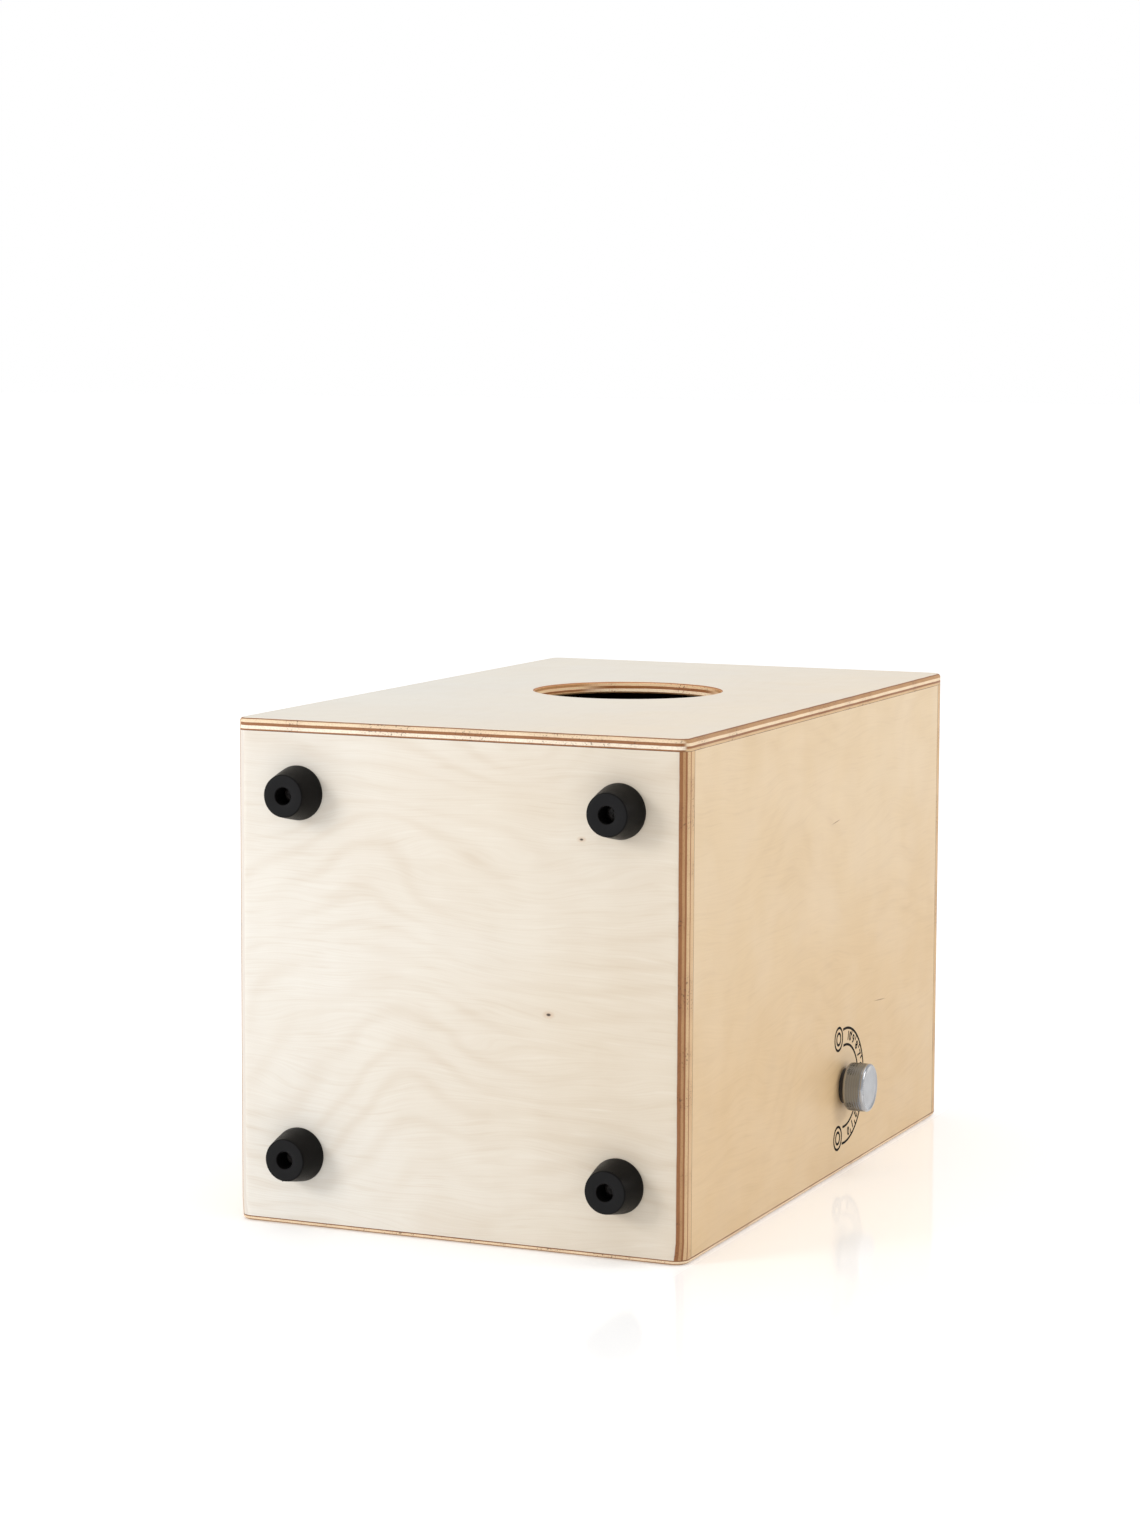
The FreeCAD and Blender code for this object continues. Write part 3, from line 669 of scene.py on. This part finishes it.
DIAL_OUTER = 38.5 * MM
DIAL_INNER = 27.5 * MM
DIAL_LINE = 1.7 * MM
DIAL_SWEEP = 96.0
DIAL_NUMBER = 8.2 * MM
DIAL_NUMBER_SWEEP = 0.78 * DIAL_SWEEP
DIAL_BOLD = 0.26 * MM
DIAL_MARKS = 10
DIAL_TICK = 3.2 * MM
DIAL_TICK_INSET = 2.6 * MM
DIAL_END_TURN = 14.5
DIAL_END_RISE = 2.5 * MM
# The two rings at each end: radius and number of steps.
DIAL_END_RINGS = ((7.6 * MM, 40), (3.9 * MM, 32))
INK_THICKNESS = 0.06 * MM


def dial_point(angle, radius, lift=0.0):
    """A point of the dial; 0 degrees points to the seat and 90 to the back panel."""
    turn = math.radians(angle)
    return Vector((SIDE_FACE + lift, AXIS.y + radius * math.cos(turn), AXIS.z + radius * math.sin(turn)))


def printed_ring(form, centre, radius, width, start, end, steps):
    """A thin arc of ink; a full turn closes on itself, and a short stretch makes a tick."""
    closed = abs(end - start) >= 360
    count = steps if closed else steps + 1
    columns = []
    for i in range(count):
        turn = math.radians(start + (end - start) * i / steps)
        out = Vector((0, math.cos(turn), math.sin(turn)))
        column = []
        for reach, lift in ((0, 0), (width, 0), (width, INK_THICKNESS), (0, INK_THICKNESS)):
            point = Vector(centre) + out * (radius - width / 2 + reach)
            column.append(form.verts.new(point + Vector((lift, 0, 0))))
        columns.append(column)
    pairs = zip(columns, columns[1:] + columns[:1]) if closed else zip(columns, columns[1:])
    for one, two in pairs:
        for j in range(4):
            k = (j + 1) % 4
            form.faces.new((one[j], one[k], two[k], two[j]))
    if not closed:
        form.faces.new(list(reversed(columns[0])))
        form.faces.new(columns[-1])


def printed_number(text, angle, radius, size):
    """A number standing on the dial's band, its foot towards the knob."""
    curve = bpy.data.curves.new("dial_number", "FONT")
    curve.body = text
    curve.size = size
    curve.align_x = "CENTER"
    curve.align_y = "CENTER"
    curve.extrude = INK_THICKNESS / 2
    curve.offset = DIAL_BOLD
    curve.resolution_u = 3
    holder = bpy.data.objects.new("dial_number", curve)
    bpy.context.scene.collection.objects.link(holder)
    turn = math.radians(angle)
    up = Vector((0, math.cos(turn), math.sin(turn)))
    right = up.cross(Vector((1, 0, 0)))
    basis = Matrix((right, up, Vector((1, 0, 0)))).transposed().to_4x4()
    place = Matrix.Translation(dial_point(angle, radius, INK_THICKNESS / 2))
    bpy.context.view_layer.update()
    mesh = bpy.data.meshes.new_from_object(holder.evaluated_get(bpy.context.evaluated_depsgraph_get()))
    mesh.transform(place @ basis)
    bpy.data.objects.remove(holder)
    return mesh


def make_dial(material):
    form = bmesh.new()
    centre = dial_point(0, 0)
    for radius in (DIAL_OUTER, DIAL_INNER):
        printed_ring(form, centre, radius, DIAL_LINE, -DIAL_SWEEP, DIAL_SWEEP, 72)
    middle = (DIAL_OUTER + DIAL_INNER) / 2
    half_step = DIAL_NUMBER_SWEEP / DIAL_MARKS
    for i in range(DIAL_MARKS + 1):
        angle = 2 * half_step * i - DIAL_NUMBER_SWEEP
        mesh = printed_number(str(i), angle, middle, DIAL_NUMBER)
        form.from_mesh(mesh)
        bpy.data.meshes.remove(mesh)
        if i:
            half_way = angle - half_step
            reach = DIAL_OUTER - DIAL_TICK_INSET
            printed_ring(form, centre, reach, DIAL_TICK, half_way - 1, half_way + 1, 2)
    for side in (-1, 1):
        end = dial_point(side * (DIAL_SWEEP + DIAL_END_TURN), middle + DIAL_END_RISE)
        for radius, steps in DIAL_END_RINGS:
            printed_ring(form, end, radius, DIAL_LINE, 0, 360, steps)
    bmesh.ops.remove_doubles(form, verts=form.verts, dist=1e-7)
    new_piece("dial_print", to_mesh(form, "dial_print"), BOX, material)


# ---------------------------------------------------------------- snare wires

STRAND_COUNT = 10
COIL_RADIUS = 0.72 * MM
COIL_WIRE = 0.17 * MM
COIL_TURNS = 58
COIL_STEPS = 7
STRAND_EDGE = 3.9 * MM


def coil(form, start, along, length):
    """One strand: a helix of fine wire."""
    side = Vector((1, 0, 0))
    up = along.cross(side)
    count = COIL_TURNS * COIL_STEPS
    rings = []
    for i in range(count + 1):
        turn = 2 * math.pi * i / COIL_STEPS
        radial = side * math.cos(turn) + up * math.sin(turn)
        centre = start + along * (length * i / count) + radial * COIL_RADIUS
        ring = []
        for j in range(4):
            spin = math.pi / 2 * j
            out = radial * math.cos(spin) + along * math.sin(spin)
            ring.append(form.verts.new(centre + out * COIL_WIRE))
        rings.append(ring)
    for one, two in zip(rings, rings[1:]):
        for j in range(4):
            k = (j + 1) % 4
            form.faces.new((one[j], one[k], two[k], two[j]))
    form.faces.new(list(reversed(rings[0])))
    form.faces.new(rings[-1])


def make_snares(material):
    for name in ("snare_wires_left", "snare_wires_right"):
        low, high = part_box(name)
        clamp_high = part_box(name.replace("wires", "clamp"))[1]
        form = bmesh.new()
        tip_z = low.z + COIL_RADIUS + COIL_WIRE
        root = Vector((0, clamp_high.y - 1.0 * MM, clamp_high.z - 2.0 * MM))
        tip = Vector((0, high.y - 0.5 * MM, tip_z))
        along = (tip - root).normalized()
        span = high.x - low.x - 2 * STRAND_EDGE
        for i in range(STRAND_COUNT):
            x = low.x + STRAND_EDGE + span * i / (STRAND_COUNT - 1)
            coil(form, Vector((x, root.y, root.z)), along, (tip - root).length)
        piece = new_piece(name + "_coils", to_mesh(form, name), CONTROL, material, 80.0)
        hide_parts(name)


# ---------------------------------------------------------------- materials of the CAD nodes

def paint_nodes():
    """Gives every CAD node its material, and returns the steel for the snare wires."""
    cream, cream_warm, cream_line = tone(231, 227, 219), tone(218, 205, 185), tone(188, 162, 130)
    tan, tan_warm, tan_line = tone(221, 197, 161), tone(216, 185, 140), tone(160, 122, 80)
    grey, grey_warm, grey_line = tone(231, 226, 215), tone(233, 219, 198), tone(184, 166, 142)
    bottom_knots = ((0.0616, 0.1455, 0.9 * MM), (0.0826, 0.2528, 0.7 * MM))
    side_streaks = ((0.114, 0.1035, 24 * MM, -0.08), (0.02, 0.236, 16 * MM, 0.1))
    # Painted light and shade: the bottom and back panels go paler towards their left end, where more light
    # falls; the sides go warmer and darker towards the floor.
    lit_from_left = (0, -0.15, 0.15)
    shaded_toward_floor = (2, 0.30, 0.04)
    woods = {
        "bottom_panel": Wood("bottom_ply", 1, BOTTOM_FACE, 1, 0, PANEL_PLIES, cream, cream_warm, cream_line,
                             1.0, lit_from_left, 0.8, knots=bottom_knots),
        "seat_panel": Wood("seat_ply", 1, SEAT_FACE, -1, 0, PANEL_PLIES, cream_warm, tan, tan_line, 0.9),
        "side_panel_right": Wood("side_ply_right", 0, SIDE_FACE, -1, 1, PANEL_PLIES, tan, tan_warm, tan_line,
                                 0.6, shaded_toward_floor, streaks=side_streaks),
        "side_panel_left": Wood("side_ply_left", 0, -SIDE_FACE, 1, 1, PANEL_PLIES, tan, tan_warm, tan_line,
                                0.7, shaded_toward_floor),
        "back_panel": Wood("back_ply", 2, BACK_FACE, -1, 1, BACK_PLIES, grey, grey_warm, grey_line,
                           0.4, lit_from_left, holed=True),
        "tapa": Wood("tapa_ply", 2, 0.0, 1, 1, TAPA_PLIES, cream_warm, tan, tan_line, 1.0),
    }
    paints = {node: plywood(wood) for node, wood in woods.items()}
    pine, pine_dark = tone(226, 196, 150), tone(190, 148, 100)
    beech, beech_dark = tone(214, 176, 134), tone(182, 138, 98)
    batten_x = batten_wood("batten_along_x", 0, pine, pine_dark)
    batten_y = batten_wood("batten_along_y", 1, pine, pine_dark)
    batten_z = batten_wood("batten_along_z", 2, pine, pine_dark)
    zinc = plain_metal("zinc_paint", tone(198, 199, 196), tone(170, 170, 164), 0.25, 0.42)
    steel = plain_metal("steel_paint", tone(190, 190, 190), tone(160, 160, 158), 0.2, 0.36)
    black = plain_metal("black_metal_paint", tone(30, 26, 24), tone(46, 40, 36), 0.32, 0.5, 0.0)
    brass = plain_metal("brass_paint", tone(214, 178, 104), tone(184, 148, 82), 0.22, 0.4)
    paints.update({
        "tapa_batten_left": batten_y, "tapa_batten_right": batten_y,
        "tapa_batten_bottom": batten_x, "tapa_batten_seat": batten_x,
        "snare_roller": batten_wood("roller_beech", 0, beech, beech_dark),
        "bearing_block": batten_wood("block_beech", 2, beech, beech_dark),
        "foot_washers": black, "foot_screws": black, "bush_washer": zinc, "bearing_block_screws": zinc,
        "snare_clamp_screws": zinc, "tapa_screws": black, "shaft_bush": black, "bush_nut": black,
        "knob_grub_screw": black, "snare_shaft": steel, "roller_pins": steel,
        "snare_clamp_left": brass, "snare_clamp_right": brass,
        "thrust_washer_left": nylon(), "thrust_washer_right": nylon(),
    })
    for end in ("bottom", "seat"):
        for side in ("left", "right"):
            paints["corner_batten_%s_%s" % (end, side)] = batten_z
    for name, material in paints.items():
        mesh = NODES[name].data
        mesh.materials.clear()
        mesh.materials.append(material)
    return steel


# ---------------------------------------------------------------- studio

WORLD_LIGHT = 0.72
FLOOR_HALF = 30.0
FLOOR_LEVEL = -0.3 * MM
FLOOR_CHANGE = 20 * MM
WHITE = (1.0, 1.0, 1.0, 1.0)
LIGHT_TARGET = (0, 0, 0.16)
# Each softbox: place and side in metres, power in watts and colour.
SOFTBOXES = {
    "left_softbox": ((-1.5, -1.9, 1.0), 0.8, 20, (1.0, 1.0, 1.0)),
    "right_softbox": ((2.6, 0.9, 1.3), 1.0, 19, (1.0, 0.98, 0.95)),
    "top_softbox": ((0.2, 0.4, 3.2), 2.4, 22, (1.0, 1.0, 1.0)),
}


def softbox(name, place, side, power, colour):
    data = bpy.data.lights.new(name, "AREA")
    data.shape = "SQUARE"
    data.size = side
    data.energy = power
    data.color = colour
    light = bpy.data.objects.new(name, data)
    bpy.context.scene.collection.objects.link(light)
    light.location = place
    aim = Vector(LIGHT_TARGET) - Vector(place)
    light.rotation_euler = aim.to_track_quat("-Z", "Y").to_euler()


def floor_paint():
    """White paper, glossy on the knob's side, that glows a little more with distance."""
    paint = Paint("floor_paint")
    place = paint.place()
    axes = paint.parts(place)
    cloud = paint.noise(place, 3.0, 2.0)
    colour = paint.mix(cloud, (0.93, 0.93, 0.93, 1.0), (0.95, 0.95, 0.95, 1.0))
    polished = paint.fit(axes[0], SIDE_FACE - FLOOR_CHANGE, SIDE_FACE + FLOOR_CHANGE)
    rough = paint.fit(polished, 0.0, 1.0, 0.6, 0.08)
    away = spot_distance(paint, axes[0], axes[1], 0.0, 0.0, 1.0, 1.0)
    glow = paint.fit(away, 0.5, 3.0, 0.20, 0.38)
    return paint.finish(Base_Color=colour, Roughness=rough, Emission_Color=WHITE, Emission_Strength=glow)


def paint_world(world):
    """White behind everything; a little less light than that falls on the object."""
    world.use_nodes = True
    tree = world.node_tree
    seen = tree.nodes.new("ShaderNodeLightPath").outputs["Is Camera Ray"]
    strength = tree.nodes.new("ShaderNodeMath")
    strength.operation = "MULTIPLY_ADD"
    tree.links.new(seen, strength.inputs[0])
    strength.inputs[1].default_value = 1.0 - WORLD_LIGHT
    strength.inputs[2].default_value = WORLD_LIGHT
    background = tree.nodes["Background"]
    background.inputs["Color"].default_value = WHITE
    tree.links.new(strength.outputs[0], background.inputs["Strength"])


def make_studio():
    scene = bpy.context.scene
    scene.view_settings.view_transform = "Standard"
    form = bmesh.new()
    signs = ((-1, -1), (1, -1), (1, 1), (-1, 1))
    form.faces.new([form.verts.new((x * FLOOR_HALF, y * FLOOR_HALF, FLOOR_LEVEL)) for x, y in signs])
    mesh = bpy.data.meshes.new("studio_floor")
    form.to_mesh(mesh)
    form.free()
    floor = bpy.data.objects.new("studio_floor", mesh)
    scene.collection.objects.link(floor)
    mesh.materials.append(floor_paint())

    world = bpy.data.worlds.new("studio_world")
    paint_world(world)
    scene.world = world
    for name, settings in SOFTBOXES.items():
        softbox(name, *settings)


def make_camera():
    turn, drop, roll = (math.radians(v) for v in (CAMERA_TURN, CAMERA_DROP, CAMERA_ROLL))
    ahead = Vector((-math.sin(turn) * math.cos(drop), math.cos(turn) * math.cos(drop), -math.sin(drop)))
    right = Vector((math.cos(turn), math.sin(turn), 0))
    up = right.cross(ahead)
    rolled_right = right * math.cos(roll) + up * math.sin(roll)
    rolled_up = up * math.cos(roll) - right * math.sin(roll)
    basis = Matrix((rolled_right, rolled_up, -ahead)).transposed().to_4x4()
    data = bpy.data.cameras.new("camera")
    data.lens = CAMERA_LENS
    camera = bpy.data.objects.new("camera", data)
    bpy.context.scene.collection.objects.link(camera)
    camera.matrix_world = Matrix.Translation(CAMERA_PLACE) @ basis
    bpy.context.scene.camera = camera


# ---------------------------------------------------------------- the whole scene

make_camera()
make_studio()
steel_paint = paint_nodes()
make_feet(rubber())
make_knob(chrome())
make_dial(ink())
make_snares(steel_paint)

bpy.context.view_layer.update()
